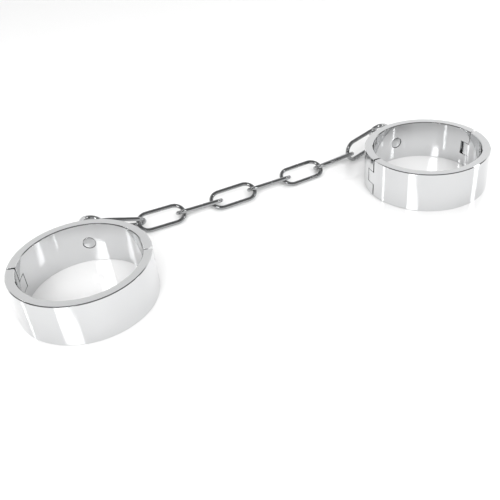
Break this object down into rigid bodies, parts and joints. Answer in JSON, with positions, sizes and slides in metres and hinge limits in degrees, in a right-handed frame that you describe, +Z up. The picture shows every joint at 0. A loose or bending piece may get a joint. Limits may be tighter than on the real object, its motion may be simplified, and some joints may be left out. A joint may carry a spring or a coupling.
{
  "type": "handcuffs",
  "caption": "Pair of rigid polished steel wrist cuffs, each a hinged ring with a screw lock, joined by a chain of oval welded links on swivel eyes.",
  "frame": {"origin": "middle of the footprint, on the surface that the cuffs lie on", "axes": "+X from the left cuff to the right cuff, +Y from the front of the cuffs to the chain behind them, +Z up along both ring axes"},
  "size_m": [0.294, 0.0983, 0.025],
  "materials": {
    "cuff_steel": "mirror-polished stainless steel",
    "stud_steel": "polished stainless steel, finely turned",
    "chain_steel": "bright polished wire, welded",
    "fastener_steel": "satin machined steel"
  },
  "bodies": {
    "left_back": {"left_back_half": "cuff_steel", "left_hinge_pin": "fastener_steel"},
    "left_front": {"left_front_half": "cuff_steel"},
    "left_lock": {"left_lock_screw": "fastener_steel"},
    "left_swivel": {"left_swivel_stud": "stud_steel", "left_swivel_eye": "chain_steel"},
    "right_back": {"right_back_half": "cuff_steel", "right_hinge_pin": "fastener_steel"},
    "right_front": {"right_front_half": "cuff_steel"},
    "right_lock": {"right_lock_screw": "fastener_steel"},
    "right_swivel": {"right_swivel_stud": "stud_steel", "right_swivel_eye": "chain_steel"},
    "link_1": {"chain_link_1": "chain_steel"},
    "link_2": {"chain_link_2": "chain_steel"},
    "link_3": {"chain_link_3": "chain_steel"},
    "link_4": {"chain_link_4": "chain_steel"},
    "link_5": {"chain_link_5": "chain_steel"},
    "link_6": {"chain_link_6": "chain_steel"},
    "link_7": {"chain_link_7": "chain_steel"},
    "link_8": {"chain_link_8": "chain_steel"}
  },
  "joints": [
    {"name": "link_contact_3", "type": "hinge", "parent": "link_4", "child": "link_3", "pos_m": [-0.0161, 0.0336, 0.0036], "axis": [-0.2799, 0.8197, -0.4998], "range_deg": [-25, 40]},
    {"name": "link_contact_2", "type": "hinge", "parent": "link_3", "child": "link_2", "pos_m": [-0.0377, 0.0334, 0.0042], "axis": [-0.0898, -0.908, -0.4091], "range_deg": [-25, 40]},
    {"name": "link_contact_1", "type": "hinge", "parent": "link_2", "child": "link_1", "pos_m": [-0.0629, 0.036, 0.0041], "axis": [-0.1692, 0.7165, -0.6767], "range_deg": [-25, 40]},
    {"name": "left_eye_contact", "type": "hinge", "parent": "link_1", "child": "left_swivel", "pos_m": [-0.087, 0.0384, 0.0107], "axis": [-0.13, -0.9897, -0.06], "range_deg": [-25, 30]},
    {"name": "left_eye_swivel", "type": "hinge", "parent": "left_swivel", "child": "left_back", "pos_m": [-0.0982, 0.02243, 0.0125], "axis": [-0.314, -0.9494, 0], "continuous": true},
    {"name": "left_cuff_hinge", "type": "hinge", "parent": "left_back", "child": "left_front", "pos_m": [-0.07527, -0.01907, 0.0125], "axis": [0, 0, 1], "range_deg": [0, 95]},
    {"name": "left_lock_travel", "type": "slide", "parent": "left_back", "child": "left_lock", "axis": [0, 0, 1], "range_m": [0, 0.005]},
    {"name": "link_contact_4", "type": "hinge", "parent": "link_4", "child": "link_5", "pos_m": [0.0102, 0.0324, 0.0052], "axis": [-0.01, 0.9291, 0.3696], "range_deg": [-25, 40]},
    {"name": "link_contact_5", "type": "hinge", "parent": "link_5", "child": "link_6", "pos_m": [0.0356, 0.0344, 0.0039], "axis": [0.2506, -0.8221, 0.5113], "range_deg": [-25, 40]},
    {"name": "link_contact_6", "type": "hinge", "parent": "link_6", "child": "link_7", "pos_m": [0.0608, 0.0357, 0.0039], "axis": [-0.04, 0.92, 0.39], "range_deg": [-25, 40]},
    {"name": "link_contact_7", "type": "hinge", "parent": "link_7", "child": "link_8", "pos_m": [0.0859, 0.0356, 0.0058], "axis": [-0.1002, -0.8415, 0.5309], "range_deg": [-25, 40]},
    {"name": "right_eye_contact", "type": "hinge", "parent": "link_8", "child": "right_swivel", "pos_m": [0.1073, 0.0399, 0.0105], "axis": [-0.271, 0.9537, -0.1305], "range_deg": [-25, 40]},
    {"name": "right_eye_swivel", "type": "hinge", "parent": "right_swivel", "child": "right_back", "pos_m": [0.11163, 0.02419, 0.0125], "axis": [0.0593, 0.9982, 0], "continuous": true},
    {"name": "right_cuff_hinge", "type": "hinge", "parent": "right_back", "child": "right_front", "pos_m": [0.14446, -0.01002, 0.0125], "axis": [0, 0, 1], "range_deg": [0, 95]},
    {"name": "right_lock_travel", "type": "slide", "parent": "right_back", "child": "right_lock", "axis": [0, 0, 1], "range_m": [0, 0.005]}
  ]
}
